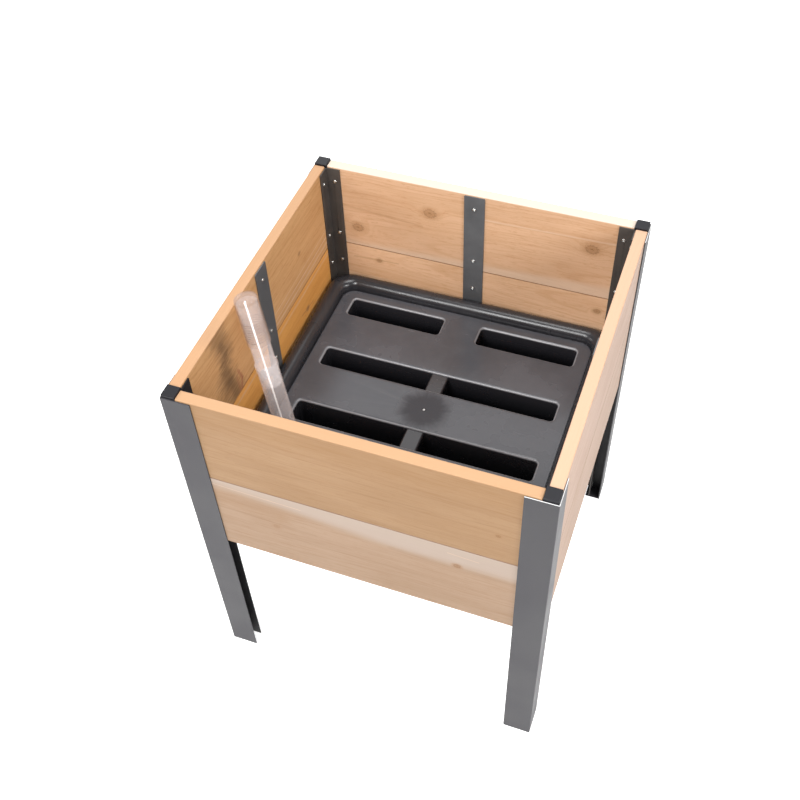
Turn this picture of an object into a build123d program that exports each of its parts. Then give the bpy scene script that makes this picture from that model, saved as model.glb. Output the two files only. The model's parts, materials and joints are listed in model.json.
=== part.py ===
from build123d import *
import os

# Raised cedar planter on four steel legs, with a lift-out self-watering tray. Millimetres, +Z up.
# The origin is on the floor, midway between the legs.

# Overall size
WIDTH = 610.0
HEIGHT = 735.0
HALF = WIDTH / 2

# Corner legs
METAL = 2.0
FLANGE = 50.0
BEND = 1.5
BOARD_THICK = 20.0
INNER_FACE = METAL + BOARD_THICK
POST_WALL = 1.5
STEEL_TOP = HEIGHT - 3.0
INNER_BOTTOM = 4.0
CAP_EDGE = 24.6
CAP_PROUD = 3.0
CAP_GAP = 0.2
CAP_SHANK = 12.0
CAP_BEVEL = 0.8
FOOT_PLATE_IN = 30.0
FOOT_PLATE_INSET = 0.5
STRAP_CORNER = 2.0

# Boards: two in each wall, joined by a half lap
BOARD_BOTTOM = 369.0
SEAM_OUTSIDE = 552.0
LAP = 9.0
LAP_MIDDLE = (METAL + INNER_FACE) / 2 - HALF
LAP_GAP = 0.3
SEAM_GAP = 0.6
SEAM_BEVEL = 0.8
BOARD_END = 25.0
BOARD_EASE = 1.2

# Straps and screws
STRAP_WIDTH = 38.0
STRAP_BOTTOM = 394.0
SCREW_INSET = 39.0
SCREW_HEIGHTS = (705.0, 585.0, 517.0, 402.0)
HEAD_RADIUS = 3.4
HEAD_HEIGHT = 1.9
HEAD_EASE = 1.2
RECESS_LENGTH = 3.2
RECESS_WIDTH = 0.8
SHANK_RADIUS = 1.75
SHANK_LENGTH = 16.0
CLEAR_HOLE = 2.1
PILOT_HOLE = SHANK_RADIUS + 0.05

# Ledges and slats that carry the tray
LEDGE = 20.0
LEDGE_BOTTOM = 370.0
LEDGE_END = 252.0
LEDGE_SCREW_Z = LEDGE_BOTTOM + 12.0
SLAT_SCREW_INSET = 12.0
SLAT_BOTTOM = LEDGE_BOTTOM + METAL
SLAT_THICK = 12.0
SLAT_WIDTH = 70.0
SLAT_PITCH = 105.0
SLAT_COUNT = 5
GAP_CENTRES = (-1.5 * SLAT_PITCH, -0.5 * SLAT_PITCH, 0.5 * SLAT_PITCH, 1.5 * SLAT_PITCH)
SLAT_HALF_LENGTH = 280.0
SLAT_SCREW_LENGTH = 10.0

# Reservoir tray
SKIN = 3.0
RIM_TOP = 494.0
RIM_BOTTOM = 466.0
RIM_HALF = 278.0
RIM_CORNER = 40.0
RIM_ROUND = 14.6
OPENING_HALF = 248.0
OPENING_CORNER = 26.0
SHELF_HALF = 242.0
BASIN_FLOOR = SLAT_BOTTOM + SLAT_THICK
BASIN_TAPER = 5.0
DRAIN_X = 170.0
DRAIN_Y = GAP_CENTRES[0]
DRAIN_RADIUS = 8.2
PLUG_RADIUS = 7.85
PLUG_STEM = 9.0
PLUG_HEAD_RADIUS = 13.0
PLUG_HEAD = 6.0
PLUG_EASE = 1.5

# Soil platform with its wicking pockets
PLATFORM_TOP = 475.0
PLATFORM_HALF = 246.0
PLATFORM_CORNER = 24.0
POCKET_ROWS = (204.0, 68.0, -68.0, -204.0)
POCKET_WIDTH = 42.0
POCKET_OUTER_END = 220.5
POCKET_INNER_LONG = 16.0
POCKET_INNER_SHORT = 37.0
POCKET_SKIN = 2.5
POCKET_BOTTOM = 390.5
POCKET_CORNER = 6.0
SADDLE_DEPTH = 4.0
SADDLE_LAP = 2.0
PLATFORM_EASE = 2.5
WICK_SLOT = (24.0, 4.0)
WICK_SLOTS = 4
NUB_RADIUS = 1.6
NUB_HEIGHT = 0.6
TUBE_HOLE_RADIUS = 21.0

# Clear fill tube: its axis passes the platform hole and leans out to the left board's top edge
TUBE_HOLE = (-213.0, -117.0)
TUBE_LEAN_TOP = (-262.2, -88.2)
TUBE_FOOT = -84.0
FOOT_RING = 2.0
INLET_WIDTH = 6.0
INLET_HEIGHT = 8.0
LOWER_TOP = 149.0
LOWER_RADIUS = 19.0
LOWER_BORE = 17.7
LIP_RADIUS = 20.0
LIP_HEIGHT = 8.0
LIP_EASE = 0.7
FOOT_BORE = 12.0
UPPER_BOTTOM = 106.0
UPPER_TOP = 272.0
UPPER_RADIUS = 17.65
UPPER_BORE = 16.2
CAP_BOTTOM = 193.0
CAP_TOP = 283.0
CAP_RADIUS = 20.0
CAP_BORE = 18.0
CAP_CROWN = 2.0
CAP_EASE = 6.0
VENT_RADIUS = 1.6
VENT_OFFSET = 9.0
FLOAT_RADIUS = 15.0
FLOAT_HEIGHT = 28.0
FLOAT_REST_GAP = 0.5
FLOAT_EASE = 5.0

CORNERS = {
    "front_left": (False, False),
    "front_right": (True, False),
    "back_left": (False, True),
    "back_right": (True, True),
}
WALLS = {"front": 0, "right": 90, "back": 180, "left": 270}
parts = {}


def block(x0, x1, y0, y1, z0, z1):
    """A box between two corners."""
    return Pos((x0 + x1) / 2, (y0 + y1) / 2, (z0 + z1) / 2) * Box(x1 - x0, y1 - y0, z1 - z0)


def rod(x, y, z, radius, length):
    """An upright cylinder that starts at z."""
    return Pos(x, y, z + length / 2) * Cylinder(radius, length)


def corner_block(a0, a1, b0, b1, z0, z1):
    """A box at the front left corner, with a and b measured inwards from the two outer faces."""
    return block(a0 - HALF, a1 - HALF, b0 - HALF, b1 - HALF, z0, z1)


def rounded_prism(half, corner, z0, z1):
    """An upright square prism with rounded corners, centred on the planter's axis."""
    return Pos(0, 0, z0) * extrude(RectangleRounded(2 * half, 2 * half, corner), z1 - z0)


def tapered_tub(half, corner, z0, z1):
    """A square tub shape that narrows towards its floor."""
    top = Pos(0, 0, z1) * RectangleRounded(2 * half, 2 * half, corner)
    low = half - BASIN_TAPER
    bottom = Pos(0, 0, z0) * RectangleRounded(2 * low, 2 * low, corner)
    return loft([bottom.face(), top.face()])


def edges_at(shape, z):
    """The edges that lie wholly at one height."""
    boxes = [(e, e.bounding_box()) for e in shape.edges()]
    return [e for e, box in boxes if abs(box.min.Z - z) < 0.01 and abs(box.max.Z - z) < 0.01]


def to_corner(shape, right, back):
    """Mirrors a front left piece to another corner."""
    if right:
        shape = mirror(shape, about=Plane.YZ)
    if back:
        shape = mirror(shape, about=Plane.XZ)
    return shape


def to_wall(shape, angle):
    """Turns a front wall piece round to another wall."""
    return Rot(0, 0, angle) * shape


def screw(length=SHANK_LENGTH):
    """A pan head screw with a cross recess, head up, with its seat at the origin."""
    head = Pos(0, 0, HEAD_HEIGHT / 2) * Cylinder(HEAD_RADIUS, HEAD_HEIGHT)
    head = fillet(edges_at(head, HEAD_HEIGHT), HEAD_EASE)
    bar = Box(RECESS_LENGTH, RECESS_WIDTH, HEAD_HEIGHT)
    recess = Pos(0, 0, HEAD_HEIGHT) * (bar + Rot(0, 0, 90) * bar)
    shank = Pos(0, 0, -length / 2) * Cylinder(SHANK_RADIUS, length)
    return head - recess + shank


def wall_screw(x, z):
    """A screw whose head seats on the inner face of the steel at the front wall."""
    return Pos(x, INNER_FACE + METAL - HALF, z) * Rot(-90, 0, 0) * screw()


def cross_hole(x, z, radius):
    """A hole along Y through the front wall's inner half, for a screw at x, z."""
    return Pos(x, INNER_FACE - HALF, z) * Rot(90, 0, 0) * Cylinder(radius, 2 * (SHANK_LENGTH - METAL))


def outer_angle():
    """The leg's outer steel angle, which wraps the corner."""
    angle = corner_block(0, FLANGE, 0, FLANGE, 0, STEEL_TOP)
    angle -= corner_block(METAL, FLANGE, METAL, FLANGE, 0, STEEL_TOP)
    outside = [e for e in angle.edges().filter_by(Axis.Z) if e.center().X + e.center().Y < -2 * HALF + 0.1]
    return fillet(outside, BEND)


def corner_post():
    """The square tube between the two angles, which the boards butt towards."""
    tube = corner_block(METAL, INNER_FACE, METAL, INNER_FACE, 0, STEEL_TOP)
    low = METAL + POST_WALL
    high = INNER_FACE - POST_WALL
    return tube - corner_block(low, high, low, high, 0, STEEL_TOP)


def inner_angle():
    """The leg's inner angle, which clamps the board ends and takes the screws."""
    face = INNER_FACE + METAL
    angle = corner_block(INNER_FACE, FLANGE, INNER_FACE, FLANGE, INNER_BOTTOM, STEEL_TOP)
    angle -= corner_block(face, FLANGE, face, FLANGE, INNER_BOTTOM, STEEL_TOP)
    for z in SCREW_HEIGHTS:
        hole = Pos(SCREW_INSET - HALF, face - HALF, z) * Rot(90, 0, 0) * Cylinder(CLEAR_HOLE, 4 * METAL)
        angle -= hole
        angle -= Pos(face - HALF, SCREW_INSET - HALF, z) * Rot(0, 90, 0) * Cylinder(CLEAR_HOLE, 4 * METAL)
    return angle


def corner_cap():
    """The square plug that closes the leg's top, proud of the boards, and covers the inner angle's corner."""
    top = HEIGHT + CAP_PROUD
    head = corner_block(METAL + CAP_GAP, CAP_EDGE, METAL + CAP_GAP, CAP_EDGE, STEEL_TOP, top)
    head = fillet(edges_at(head, top), CAP_BEVEL)
    low = METAL + POST_WALL + CAP_GAP
    high = INNER_FACE - POST_WALL - CAP_GAP
    return head + corner_block(low, high, low, high, STEEL_TOP - CAP_SHANK, STEEL_TOP)


def foot_plate():
    """The small plate that closes the foot of the side slot and rests on the floor."""
    return corner_block(METAL, FOOT_PLATE_IN, INNER_FACE, FLANGE - FOOT_PLATE_INSET, 0, METAL)


def corner_screws():
    """Four screws in each flange of the inner angle."""
    face = INNER_FACE + METAL - HALF
    screws = []
    for z in SCREW_HEIGHTS:
        screws.append(wall_screw(SCREW_INSET - HALF, z))
        screws.append(Pos(face, SCREW_INSET - HALF, z) * Rot(0, 90, 0) * screw())
    return screws


def upper_board():
    """The front wall's upper board, whose outer half laps down over the lower one."""
    end = HALF - BOARD_END
    outer_seam = SEAM_OUTSIDE + SEAM_GAP
    inner_seam = outer_seam + LAP
    board = block(-end, end, METAL - HALF, LAP_MIDDLE, outer_seam, HEIGHT)
    board += block(-end, end, LAP_MIDDLE, INNER_FACE - HALF, inner_seam, HEIGHT)
    board = fillet(board_long_edges(board, (HEIGHT,)), BOARD_EASE)
    board = chamfer(board_long_edges(board, (outer_seam, inner_seam)), SEAM_BEVEL)
    return drill(board, [z for z in SCREW_HEIGHTS if z > SEAM_OUTSIDE])


def lower_board():
    """The front wall's lower board, whose inner half laps up behind the upper one."""
    end = HALF - BOARD_END
    board = block(-end, end, METAL - HALF, INNER_FACE - HALF, BOARD_BOTTOM, SEAM_OUTSIDE)
    board += block(-end, end, LAP_MIDDLE + LAP_GAP, INNER_FACE - HALF, SEAM_OUTSIDE, SEAM_OUTSIDE + LAP)
    board = fillet(board_long_edges(board, (BOARD_BOTTOM,)), BOARD_EASE)
    board = chamfer(board_long_edges(board, (SEAM_OUTSIDE, SEAM_OUTSIDE + LAP)), SEAM_BEVEL)
    return drill(board, [z for z in SCREW_HEIGHTS if z < SEAM_OUTSIDE])


def board_long_edges(board, heights):
    """A front board's long edges at the given heights that lie on its inner or outer face."""
    faces = (METAL - HALF, INNER_FACE - HALF)
    edges = board.edges().filter_by(Axis.X)
    return [
        e for e in edges
        if any(abs(e.center().Z - z) < 0.01 for z in heights)
        and any(abs(e.center().Y - y) < 0.01 for y in faces)
    ]


def drill(board, heights):
    """Cuts the pilot holes for the corner and strap screws."""
    for z in heights:
        for x in (SCREW_INSET - HALF, 0, HALF - SCREW_INSET):
            board -= cross_hole(x, z, PILOT_HOLE)
    return board


def drill_for_ledge(board):
    """Cuts the pilot holes for a ledge's screws, in the front wall's frame."""
    for x in GAP_CENTRES:
        board -= cross_hole(x, LEDGE_SCREW_Z, PILOT_HOLE)
    return board


def strap():
    """The flat bar that ties the two boards together at the middle of the front wall."""
    bar = block(-STRAP_WIDTH / 2, STRAP_WIDTH / 2, INNER_FACE - HALF, INNER_FACE + METAL - HALF,
                STRAP_BOTTOM, STEEL_TOP)
    bar = fillet(bar.edges().filter_by(Axis.Y), STRAP_CORNER)
    for z in SCREW_HEIGHTS:
        bar -= cross_hole(0, z, CLEAR_HOLE)
    return bar


def ledge():
    """The steel angle along the foot of a wall that carries the slats, at the front wall."""
    back = INNER_FACE - HALF
    angle = block(-LEDGE_END, LEDGE_END, back, back + LEDGE, LEDGE_BOTTOM, LEDGE_BOTTOM + LEDGE)
    angle -= block(-LEDGE_END, LEDGE_END, back + METAL, back + LEDGE,
                   LEDGE_BOTTOM + METAL, LEDGE_BOTTOM + LEDGE)
    for x in GAP_CENTRES:
        angle -= cross_hole(x, LEDGE_SCREW_Z, CLEAR_HOLE)
    for x in slat_places():
        angle -= rod(x, slat_screw_y(), LEDGE_BOTTOM, CLEAR_HOLE, METAL)
    return angle


def slat_places():
    """The slats' centres along the ledges."""
    first = -(SLAT_COUNT - 1) / 2 * SLAT_PITCH
    return [first + i * SLAT_PITCH for i in range(SLAT_COUNT)]


def slat_screw_y():
    """Where the slat screws pass the ledge, in the front wall's frame."""
    return INNER_FACE + SLAT_SCREW_INSET - HALF


def slat(y):
    """One wooden cross slat under the tray."""
    bar = block(-SLAT_HALF_LENGTH, SLAT_HALF_LENGTH, y - SLAT_WIDTH / 2, y + SLAT_WIDTH / 2,
                SLAT_BOTTOM, SLAT_BOTTOM + SLAT_THICK)
    bar = fillet(bar.edges().filter_by(Axis.X), BOARD_EASE)
    for side in (-1, 1):
        bar -= rod(side * slat_screw_y(), y, SLAT_BOTTOM, PILOT_HOLE, SLAT_SCREW_LENGTH - METAL)
    return bar


def slat_screws():
    """One screw up through the ledge into each end of each slat."""
    return [
        Pos(side * slat_screw_y(), y, LEDGE_BOTTOM) * Rot(180, 0, 0) * screw(SLAT_SCREW_LENGTH)
        for y in slat_places() for side in (-1, 1)
    ]


def inner_edges_at(shape, z):
    """The edges at one height that run round the tray's opening."""
    reach = OPENING_HALF + SKIN + 1
    return [e for e in edges_at(shape, z) if abs(e.center().X) < reach and abs(e.center().Y) < reach]


def reservoir_tray():
    """The watertight tray: a hollow rolled rim, a shelf for the platform and a tapered basin."""
    rim = rounded_prism(RIM_HALF, RIM_CORNER, RIM_BOTTOM, RIM_TOP)
    rim = fillet(edges_at(rim, RIM_TOP), RIM_ROUND)
    channel = rounded_prism(RIM_HALF - SKIN, RIM_CORNER - SKIN, RIM_BOTTOM, RIM_TOP - SKIN)
    channel = fillet(edges_at(channel, RIM_TOP - SKIN), RIM_ROUND - SKIN)
    channel -= rounded_prism(OPENING_HALF + SKIN, OPENING_CORNER + SKIN, RIM_BOTTOM, RIM_TOP)
    channel = fillet(inner_edges_at(channel, RIM_TOP - SKIN), RIM_ROUND - SKIN)
    shelf_top = PLATFORM_TOP - SKIN
    opening = rounded_prism(OPENING_HALF, OPENING_CORNER, shelf_top, RIM_TOP)
    tray = rim - channel - rounded_prism(OPENING_HALF, OPENING_CORNER, RIM_BOTTOM, RIM_TOP)
    tray = fillet(inner_edges_at(tray, RIM_TOP), RIM_ROUND)
    shelf = rounded_prism(OPENING_HALF + SKIN, OPENING_CORNER + SKIN, shelf_top - SKIN, shelf_top)
    basin = tapered_tub(SHELF_HALF + SKIN, OPENING_CORNER, BASIN_FLOOR, shelf_top)
    water = tapered_tub(SHELF_HALF, OPENING_CORNER - SKIN, BASIN_FLOOR + SKIN, shelf_top)
    tray = tray + (shelf - opening) + basin - water
    return tray - rod(DRAIN_X, DRAIN_Y, BASIN_FLOOR, DRAIN_RADIUS, SKIN)


def drain_plug():
    """The bung pushed up into the basin's drain hole from below."""
    stem = rod(DRAIN_X, DRAIN_Y, BASIN_FLOOR, PLUG_RADIUS, PLUG_STEM)
    stem = fillet(edges_at(stem, BASIN_FLOOR + PLUG_STEM), PLUG_EASE)
    head_bottom = BASIN_FLOOR - PLUG_HEAD
    head = rod(DRAIN_X, DRAIN_Y, head_bottom, PLUG_HEAD_RADIUS, PLUG_HEAD)
    return stem + fillet(edges_at(head, head_bottom), PLUG_EASE)


def pocket_spans():
    """The (row y, x from, x to) of every pocket: the end rows are shorter than the middle ones."""
    spans = []
    for y in POCKET_ROWS:
        inner = POCKET_INNER_LONG if abs(y) < POCKET_ROWS[0] else POCKET_INNER_SHORT
        spans.append((y, -POCKET_OUTER_END, -inner))
        spans.append((y, inner, POCKET_OUTER_END))
    return spans


def pocket_prism(y, x0, x1, grow, z0, z1):
    """An upright rounded bar over one pocket's plan, grown by a margin."""
    plan = RectangleRounded(x1 - x0 + 2 * grow, POCKET_WIDTH + 2 * grow, POCKET_CORNER + grow)
    return Pos((x0 + x1) / 2, y, z0) * extrude(plan, z1 - z0)


def soil_platform():
    """The plate that the soil lies on, with deep wicking pockets and the fill tube's hole."""
    plate_bottom = PLATFORM_TOP - SKIN
    plate = rounded_prism(PLATFORM_HALF, PLATFORM_CORNER, plate_bottom, PLATFORM_TOP)
    saddle_half = POCKET_WIDTH / 2
    for y in POCKET_ROWS[1:3]:
        floor = PLATFORM_TOP - SADDLE_DEPTH
        plate += block(-POCKET_INNER_LONG, POCKET_INNER_LONG, y - saddle_half - POCKET_SKIN,
                       y + saddle_half + POCKET_SKIN, floor - POCKET_SKIN, plate_bottom)
    for y, x0, x1 in pocket_spans():
        plate += pocket_prism(y, x0, x1, POCKET_SKIN, POCKET_BOTTOM, plate_bottom)
    for y, x0, x1 in pocket_spans():
        plate -= pocket_prism(y, x0, x1, 0, POCKET_BOTTOM + POCKET_SKIN, PLATFORM_TOP)
    for y in POCKET_ROWS[1:3]:
        reach = POCKET_INNER_LONG + SADDLE_LAP
        plate -= block(-reach, reach, y - saddle_half + POCKET_CORNER, y + saddle_half - POCKET_CORNER,
                       PLATFORM_TOP - SADDLE_DEPTH, PLATFORM_TOP)
    plate -= rod(*TUBE_HOLE, plate_bottom, TUBE_HOLE_RADIUS, SKIN)
    plate = fillet(edges_at(plate, PLATFORM_TOP), PLATFORM_EASE)
    return cut_wick_slots(plate) + rod(0, 0, PLATFORM_TOP, NUB_RADIUS, NUB_HEIGHT)


def cut_wick_slots(plate):
    """Cuts a row of slots in each pocket's floor, which let the water in to the soil."""
    for y, x0, x1 in pocket_spans():
        step = (x1 - x0) / (WICK_SLOTS + 1)
        for i in range(1, WICK_SLOTS + 1):
            slot = extrude(SlotOverall(*WICK_SLOT), POCKET_SKIN)
            plate -= Pos(x0 + i * step, y, POCKET_BOTTOM) * slot
    return plate


def tube_plane():
    """The fill tube's own frame: its origin is where the axis crosses the platform's top."""
    base = Vector(*TUBE_HOLE, PLATFORM_TOP)
    lean = Vector(*TUBE_LEAN_TOP, HEIGHT) - base
    return Plane(origin=base, x_dir=(1, 0, -lean.X / lean.Z), z_dir=lean)


def ring(radius, bore, z0, z1):
    """A tube section about the fill tube's axis."""
    return rod(0, 0, z0, radius, z1 - z0) - rod(0, 0, z0, bore, z1 - z0)


def fill_tube_lower():
    """The wide clear tube that stands in the basin, with an inlet ring at its foot."""
    tube = ring(LOWER_RADIUS, LOWER_BORE, TUBE_FOOT, LOWER_TOP)
    tube += ring(LOWER_RADIUS, FOOT_BORE, TUBE_FOOT, TUBE_FOOT + FOOT_RING)
    lip = ring(LIP_RADIUS, LOWER_BORE, LOWER_TOP - LIP_HEIGHT, LOWER_TOP)
    tube += fillet([e for e in lip.edges().filter_by(GeomType.CIRCLE) if e.radius > LOWER_RADIUS], LIP_EASE)
    for angle in (0, 90):
        inlet = Box(4 * LOWER_RADIUS, INLET_WIDTH, INLET_HEIGHT)
        tube -= Pos(0, 0, TUBE_FOOT + FOOT_RING + INLET_HEIGHT) * Rot(0, 0, angle) * inlet
    return tube


def fill_tube_upper():
    """The narrow clear tube that fits inside the lower one and carries the cap."""
    return ring(UPPER_RADIUS, UPPER_BORE, UPPER_BOTTOM, UPPER_TOP)


def tube_cap():
    """The long clear cap with a vent hole in its top."""
    cap = rod(0, 0, CAP_BOTTOM, CAP_RADIUS, CAP_TOP - CAP_BOTTOM)
    cap = fillet(edges_at(cap, CAP_TOP), CAP_EASE)
    bore_top = CAP_TOP - CAP_CROWN
    bore = rod(0, 0, CAP_BOTTOM, CAP_BORE, bore_top - CAP_BOTTOM)
    cap -= fillet(edges_at(bore, bore_top), CAP_EASE - CAP_CROWN)
    return cap - rod(VENT_OFFSET, 0, bore_top - CAP_CROWN, VENT_RADIUS, 3 * CAP_CROWN)


def level_float():
    """The float that shows the water level inside the tube."""
    body = rod(0, 0, TUBE_FOOT + FOOT_RING + FLOAT_REST_GAP, FLOAT_RADIUS, FLOAT_HEIGHT)
    return fillet(body.edges().filter_by(GeomType.CIRCLE), FLOAT_EASE)


def add_corners():
    """Makes the pieces of the four legs."""
    makers = {
        "leg_outer_angle": outer_angle,
        "leg_post": corner_post,
        "leg_inner_angle": inner_angle,
        "corner_cap": corner_cap,
        "foot_plate": foot_plate,
    }
    for corner, (right, back) in CORNERS.items():
        for name, make in makers.items():
            parts[f"{name}_{corner}"] = to_corner(make(), right, back)
        parts[f"corner_screws_{corner}"] = Compound(
            children=[to_corner(s, right, back) for s in corner_screws()])


def add_walls():
    """Makes the boards, straps and strap screws of the four walls."""
    for wall, angle in WALLS.items():
        lower = lower_board()
        if wall in ("left", "right"):
            lower = drill_for_ledge(lower)
        parts[f"board_upper_{wall}"] = to_wall(upper_board(), angle)
        parts[f"board_lower_{wall}"] = to_wall(lower, angle)
        parts[f"strap_{wall}"] = to_wall(strap(), angle)
        parts[f"strap_screws_{wall}"] = Compound(
            children=[to_wall(wall_screw(0, z), angle) for z in SCREW_HEIGHTS])


def add_tray_support():
    """Makes the two ledges, their screws and the slats."""
    screws = []
    for wall in ("left", "right"):
        parts[f"ledge_{wall}"] = to_wall(ledge(), WALLS[wall])
        screws += [to_wall(wall_screw(x, LEDGE_SCREW_Z), WALLS[wall]) for x in GAP_CENTRES]
    parts["ledge_screws"] = Compound(children=screws)
    for number, y in enumerate(slat_places(), 1):
        parts[f"tray_slat_{number}"] = slat(y)
    parts["slat_screws"] = Compound(children=slat_screws())


def add_watering():
    """Makes the lift-out tray, the platform and the fill tube."""
    parts["reservoir_tray"] = reservoir_tray()
    parts["drain_plug"] = drain_plug()
    parts["soil_platform"] = soil_platform()
    lean = tube_plane().location
    parts["fill_tube_lower"] = lean * fill_tube_lower()
    parts["fill_tube_upper"] = lean * fill_tube_upper()
    parts["tube_cap"] = lean * tube_cap()
    parts["level_float"] = lean * level_float()


def main():
    add_corners()
    add_walls()
    add_tray_support()
    add_watering()
    os.makedirs("parts", exist_ok=True)
    for name, shape in parts.items():
        export_step(shape, f"parts/{name}.step")
    lean = tube_plane().z_dir
    print(f"{len(parts)} nodes; fill tube axis {lean.X:.5f} {lean.Y:.5f} {lean.Z:.5f}")


main()
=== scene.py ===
import json
import math

import bmesh
import bpy
from mathutils import Matrix, Quaternion, Vector, noise


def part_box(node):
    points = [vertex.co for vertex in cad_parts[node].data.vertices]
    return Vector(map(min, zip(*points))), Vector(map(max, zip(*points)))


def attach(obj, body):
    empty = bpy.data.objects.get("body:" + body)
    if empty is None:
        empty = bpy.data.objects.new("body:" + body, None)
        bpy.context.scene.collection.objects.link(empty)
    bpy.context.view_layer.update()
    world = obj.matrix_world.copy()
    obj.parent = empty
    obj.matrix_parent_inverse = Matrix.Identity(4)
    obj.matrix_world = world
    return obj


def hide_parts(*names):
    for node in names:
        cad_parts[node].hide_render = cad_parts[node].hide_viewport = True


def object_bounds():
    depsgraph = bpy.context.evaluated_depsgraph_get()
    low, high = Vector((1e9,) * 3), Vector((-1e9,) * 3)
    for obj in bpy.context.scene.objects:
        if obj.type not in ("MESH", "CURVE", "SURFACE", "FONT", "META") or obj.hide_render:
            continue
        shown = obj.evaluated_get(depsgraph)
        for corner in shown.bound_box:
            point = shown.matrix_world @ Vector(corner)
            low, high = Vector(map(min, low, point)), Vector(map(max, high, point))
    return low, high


# The looks of the raised cedar planter. Metres, in the CAD frame: +Z up, the front wall towards -Y.

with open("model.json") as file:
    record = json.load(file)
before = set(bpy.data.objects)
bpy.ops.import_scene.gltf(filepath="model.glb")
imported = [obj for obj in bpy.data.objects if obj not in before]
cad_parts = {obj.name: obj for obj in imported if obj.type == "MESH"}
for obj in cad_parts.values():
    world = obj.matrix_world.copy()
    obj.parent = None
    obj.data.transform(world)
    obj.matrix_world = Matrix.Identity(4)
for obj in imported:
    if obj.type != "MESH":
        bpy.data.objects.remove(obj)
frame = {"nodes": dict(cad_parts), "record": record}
cad_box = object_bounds()

WALLS = {"front": 0, "right": 90, "back": 180, "left": 270}
CORNERS = ("front_left", "front_right", "back_left", "back_right")

# Camera
CAMERA_AIM = Vector((-0.048, 0.008, 0.475))
CAMERA_DISTANCE = 1.908
CAMERA_AZIMUTH = 22.42
CAMERA_ELEVATION = 49.36
CAMERA_ROLL = -3.05
CAMERA_LENS = 48.18

# Boards
SEAM_OUTSIDE = 0.552
LAP = 0.009
LAP_GAP = 0.0003
BOARD_EASE = 0.0016
SEAM_EASE = 0.0009
BOARD_STEP = 0.005
END_EASE = 0.0008
SAG = 0.00022
BOARD_END = 0.28
TOP_EDGE = (0.7325, 0.7345)
LAP_FACES = (-0.2945, -0.2915)
LIGHTER = (1.10, 1.13, 1.18)
DARKER = (0.80, 0.68, 0.54)

# Steel
EDGE_ROUND = 0.0004
STEEL_TOP = 0.732
LEG_HALF = cad_box[1][0]
HIGHLIGHT_WIDTH = 0.0012

# Tray
SKIN = 0.003
SHELF_Z = 0.472
OPENING_HALF = 0.248
SHELF_HALF = 0.242
FLOOR_HALF = 0.2372
FLOOR_FLAT = 0.200
RIM_SKIRT = 0.028
RIM_ROUND = 0.0146
RIM_CORNER = 0.040
BASIN_ROUND = 0.012
SHELF_ROUND = 0.002
SKIRT_EASE = 0.0008
CORNER_SHRINK = 14 / 30
DRAIN_RADIUS = 0.0082
TRAY_STEP = 0.02

# Soil platform
POCKET_ROWS = (0.204, 0.068, -0.068, -0.204)
POCKET_END = 0.2205
POCKET_INNER_SHORT = 0.037
POCKET_INNER_LONG = 0.016
POCKET_HALF = 0.0209
POCKET_CORNER = 0.006
LEAST_CORNER = 0.0012
POCKET_DEPTH = 0.0815
LIP = 0.0055
DRAFT = 0.0008
FLOOR_ROUND = 0.003
BRIDGE_DEPTH = 0.004
BRIDGE_ROUND = 0.0036
CORNER_STEPS = 6
PLATFORM_CORNER = 0.024
PLATFORM_ROUND = 0.0016
PLATFORM_THICK = 0.0025
WICK_SLOTS = 4
WICK_LENGTH = 0.024
WICK_WIDTH = 0.004
GATE_PROFILE = ((0.0022, 0.0), (0.0021, 0.0003), (0.0016, 0.0005), (0.0008, 0.0006))

# Fill tube: places along its axis count from the platform's top
TUBE_BASE = Vector((-0.213, -0.117, 0.475))
TUBE_LEAN = Vector((-0.18484, 0.10820, 0.97679))
TUBE_HOLE_RADIUS = 0.021
UPPER_BOTTOM = 0.106
UPPER_TOP = 0.272
UPPER_RADIUS = 0.01765
UPPER_BORE = 0.0162
TUBE_FOOT_EASE = 0.0004
TUBE_EASE = 0.0006
TUBE_STEP = 0.006
COLLAR_BOTTOM = 0.107
COLLAR_TOP = 0.128
COLLAR_EASE = 0.0005
COLLAR_INNER, COLLAR_CREST, COLLAR_OUTER = 0.0154, 0.0158, 0.0161
CAP_BOTTOM = 0.193
CAP_TOP = 0.283
CAP_RADIUS = 0.020
CAP_BORE = 0.018
CAP_CROWN = 0.002
CAP_EASE = 0.0060
CAP_FLAT = 0.0125
CAP_INNER_ROUND = 0.004
CAP_INNER_EASE = 0.0005
CAP_STEP = 0.005
VENT_OFFSET = 0.009
VENT_RADIUS = 0.0016
THREAD_BOTTOM = 0.197
THREAD_PITCH = 0.0045
THREAD_TURNS = 9
THREAD_HEIGHT = 0.0003
THREAD_HALF = 0.0008
THREAD_SINK = 0.0001
THREAD_STEPS = 48
ROUND_STEPS = 72
# A painted highlight streak down one side of the clear parts
PAINTED_STREAK_ANGLE = math.radians(-61)
PAINTED_STREAK_COVER = 0.55
PAINTED_STREAK_WIDTHS = (0.0021, 0.0007)
PAINTED_STREAK_SIDE = (0.012, 0.014)

# Studio
LIGHT_AIM = (0.0, 0.0, 0.5)
LIGHTS = (
    ("front_light", (-0.5, -2.2, 2.6), 1.2, 70.0),
    ("back_light", (-0.9, 2.3, 2.7), 3.0, 48.0),
    ("top_light", (0.1, 0.1, 2.8), 0.9, 20.0),
    ("side_light", (2.4, -0.8, 1.9), 1.2, 58.0),
    ("left_light", (-2.3, -0.9, 1.7), 0.9, 22.0),
)
WORLD_STRENGTH = 0.35
FLOOR_REACH = 6.0
FLOOR_GLOW = 0.7


# ---------------- mesh tools

def make_piece(name, points, faces, material):
    """A smooth-shaded object, with its sharp edges kept."""
    mesh = bpy.data.meshes.new(name)
    mesh.from_pydata([tuple(p) for p in points], [], faces)
    return finish_piece(name, mesh, material)


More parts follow.
